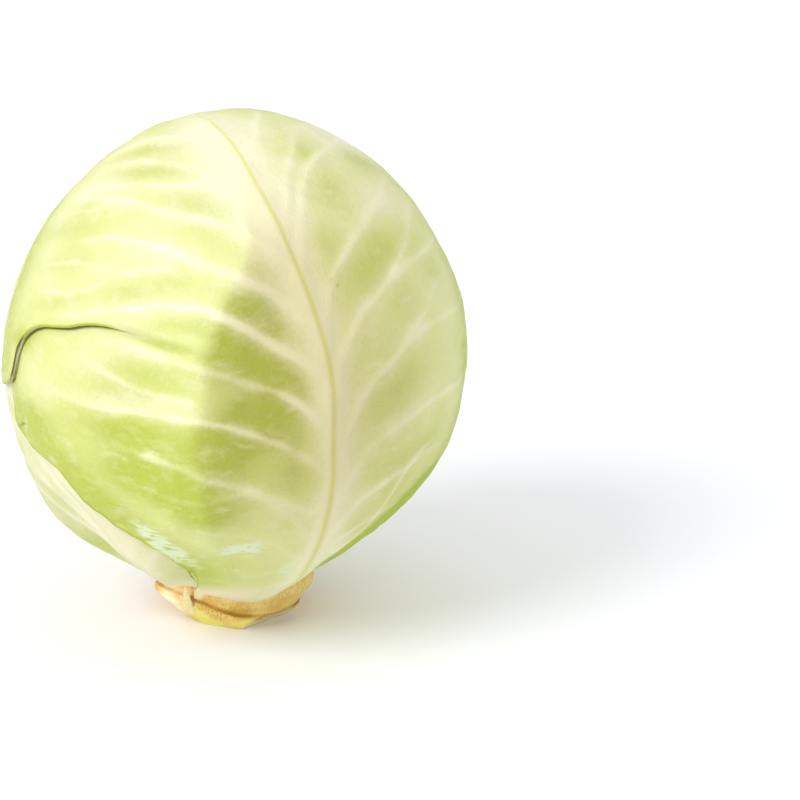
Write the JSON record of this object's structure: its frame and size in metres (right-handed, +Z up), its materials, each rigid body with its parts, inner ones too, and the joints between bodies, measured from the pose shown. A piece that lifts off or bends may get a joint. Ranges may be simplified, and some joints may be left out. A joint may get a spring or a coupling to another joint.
{
  "type": "cabbage head",
  "caption": "Round white cabbage head of tightly overlapping leaves on a cut stump, with inner leaves, heart and core inside.",
  "frame": {"origin": "centre of the stump's flat cut face, which rests on the surface", "axes": "+Z up through the head, front of the outermost leaf towards -Y, +X to the right seen from the front"},
  "size_m": [0.1638, 0.1621, 0.1805],
  "materials": {
    "stump": "dry cut stem, tan and ochre, matte and fibrous",
    "outer_leaf": "light green leaf with paler veins, smooth and slightly waxy",
    "second_leaf": "pale green leaf with cream ribs, smooth and slightly waxy",
    "inner_leaf": "pale yellow-white leaf, smooth and slightly waxy",
    "heart": "cream-yellow packed leaf tissue, smooth"
  },
  "bodies": {
    "root": {"stump_core": "stump", "leaf_01_front": "outer_leaf", "leaf_02_left": "second_leaf", "leaf_03_right": "second_leaf", "leaf_04_back": "second_leaf", "leaf_05_under": "inner_leaf", "leaf_06_under": "inner_leaf", "leaf_07_under": "inner_leaf", "leaf_08_under": "inner_leaf", "leaf_09_inner": "inner_leaf", "leaf_10_inner": "inner_leaf", "leaf_11_inner": "inner_leaf", "leaf_12_inner": "inner_leaf", "leaf_13_inner": "inner_leaf", "leaf_14_inner": "inner_leaf", "heart_bud": "heart"}
  },
  "joints": []
}
